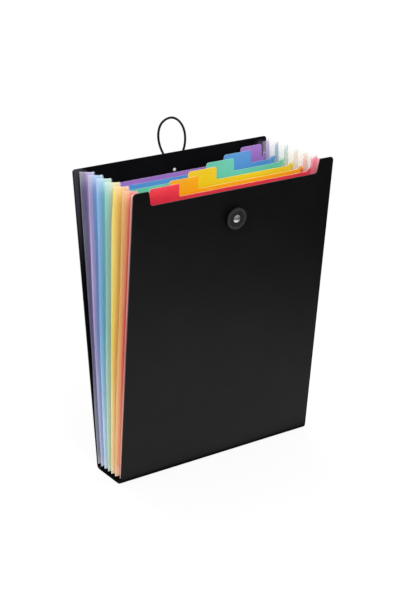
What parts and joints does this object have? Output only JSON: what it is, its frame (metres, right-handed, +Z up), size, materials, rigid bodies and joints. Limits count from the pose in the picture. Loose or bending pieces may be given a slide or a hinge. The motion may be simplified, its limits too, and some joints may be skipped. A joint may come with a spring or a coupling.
{
  "type": "accordion file folder",
  "caption": "Upright expanding file with black covers, tinted tabbed dividers, pleated side gussets and an elastic loop that hooks over a front button.",
  "frame": {"origin": "middle of the base panel's underside, on the surface that the file stands on", "axes": "+X to the right seen from the front, -Y towards the front cover, +Z up"},
  "size_m": [0.24, 0.1245, 0.3543],
  "materials": {
    "cover_black": "fine matte grained polypropylene",
    "fold_black": "thin black film, pleated",
    "button_grey": "moulded satin plastic",
    "clamp_black": "moulded matte plastic",
    "rivet_metal": "bright plated steel",
    "elastic_black": "braided elastic cord",
    "sheet_red": "translucent tinted polypropylene sheet",
    "film_red": "thin clear tinted film",
    "sheet_orange": "translucent tinted polypropylene sheet",
    "film_orange": "thin clear tinted film",
    "sheet_yellow": "translucent tinted polypropylene sheet",
    "film_yellow": "thin clear tinted film",
    "sheet_teal": "translucent tinted polypropylene sheet",
    "film_teal": "thin clear tinted film",
    "sheet_blue": "translucent tinted polypropylene sheet",
    "film_blue": "thin clear tinted film",
    "sheet_purple": "translucent tinted polypropylene sheet",
    "film_purple": "thin clear tinted film",
    "film_pink": "thin clear tinted film"
  },
  "bodies": {
    "base": {"base_panel": "cover_black", "base_gusset": "fold_black", "gusset_left_4": "film_yellow", "gusset_right_4": "film_yellow"},
    "yellow_divider": {"divider_yellow": "sheet_yellow"},
    "orange_divider": {"divider_orange": "sheet_orange", "gusset_left_3": "film_orange", "gusset_right_3": "film_orange"},
    "red_divider": {"divider_red": "sheet_red", "gusset_left_2": "film_red", "gusset_right_2": "film_red"},
    "teal_divider": {"divider_teal": "sheet_teal"},
    "blue_divider": {"divider_blue": "sheet_blue", "gusset_left_5": "film_teal", "gusset_right_5": "film_teal"},
    "purple_divider": {"divider_purple": "sheet_purple", "gusset_left_6": "film_blue", "gusset_right_6": "film_blue"},
    "front_cover": {"front_cover": "cover_black", "button_rivet": "rivet_metal", "button_backing": "clamp_black", "gusset_left_1": "film_pink", "gusset_right_1": "film_pink"},
    "rear_cover": {"rear_cover": "cover_black", "loop_clamp": "clamp_black", "loop_rivet": "rivet_metal", "gusset_left_7": "film_purple", "gusset_right_7": "film_purple"},
    "button": {"button_disc": "button_grey"},
    "loop": {"elastic_loop": "elastic_black"}
  },
  "joints": [
    {"name": "yellow_lean", "type": "hinge", "parent": "base", "child": "yellow_divider", "pos_m": [0, -0.00346, 0.0083], "axis": [1, 0, 0], "range_deg": [-0.88, 0.3], "deforming": ["gusset_left_4", "gusset_right_4"]},
    {"name": "orange_lean", "type": "hinge", "parent": "yellow_divider", "child": "orange_divider", "pos_m": [0, -0.01037, 0.0083], "axis": [1, 0, 0], "range_deg": [-1.76, 0.6], "deforming": ["gusset_left_3", "gusset_right_3"]},
    {"name": "red_lean", "type": "hinge", "parent": "orange_divider", "child": "red_divider", "pos_m": [0, -0.01728, 0.0083], "axis": [1, 0, 0], "range_deg": [-1.76, 0.6], "deforming": ["gusset_left_2", "gusset_right_2"]},
    {"name": "teal_lean", "type": "hinge", "parent": "base", "child": "teal_divider", "pos_m": [0, 0.00346, 0.0083], "axis": [1, 0, 0], "range_deg": [-0.3, 0.88]},
    {"name": "blue_lean", "type": "hinge", "parent": "teal_divider", "child": "blue_divider", "pos_m": [0, 0.01037, 0.0083], "axis": [1, 0, 0], "range_deg": [-0.6, 1.76], "deforming": ["gusset_left_5", "gusset_right_5"]},
    {"name": "purple_lean", "type": "hinge", "parent": "blue_divider", "child": "purple_divider", "pos_m": [0, 0.01728, 0.0083], "axis": [1, 0, 0], "range_deg": [-0.6, 1.76], "deforming": ["gusset_left_6", "gusset_right_6"]},
    {"name": "front_spread", "type": "hinge", "parent": "red_divider", "child": "front_cover", "pos_m": [0, -0.01844, 0.00075], "axis": [1, 0, 0], "range_deg": [-1.76, 0.6], "deforming": ["gusset_left_1", "gusset_right_1"]},
    {"name": "rear_spread", "type": "hinge", "parent": "purple_divider", "child": "rear_cover", "pos_m": [0, 0.02095, 0.00075], "axis": [1, 0, 0], "range_deg": [-0.6, 1.76], "deforming": ["gusset_left_7", "gusset_right_7"]},
    {"name": "button_turn", "type": "hinge", "parent": "front_cover", "child": "button", "pos_m": [0, -0.05359, 0.27645], "axis": [0, -0.9942, -0.1071], "continuous": true},
    {"name": "loop_fold", "type": "hinge", "parent": "rear_cover", "child": "loop", "pos_m": [0, 0.06007, 0.31789], "axis": [1, 0, 0], "range_deg": [-20, 85], "stiffness_Nm_per_rad": 0.001, "deforming": ["elastic_loop"]}
  ],
  "couplings": [
    {"joint": "yellow_lean", "follows": "front_spread", "ratio": 0.5},
    {"joint": "orange_lean", "follows": "front_spread", "ratio": 1},
    {"joint": "red_lean", "follows": "front_spread", "ratio": 1},
    {"joint": "teal_lean", "follows": "front_spread", "ratio": -0.5},
    {"joint": "blue_lean", "follows": "front_spread", "ratio": -1},
    {"joint": "purple_lean", "follows": "front_spread", "ratio": -1},
    {"joint": "rear_spread", "follows": "front_spread", "ratio": -1}
  ]
}
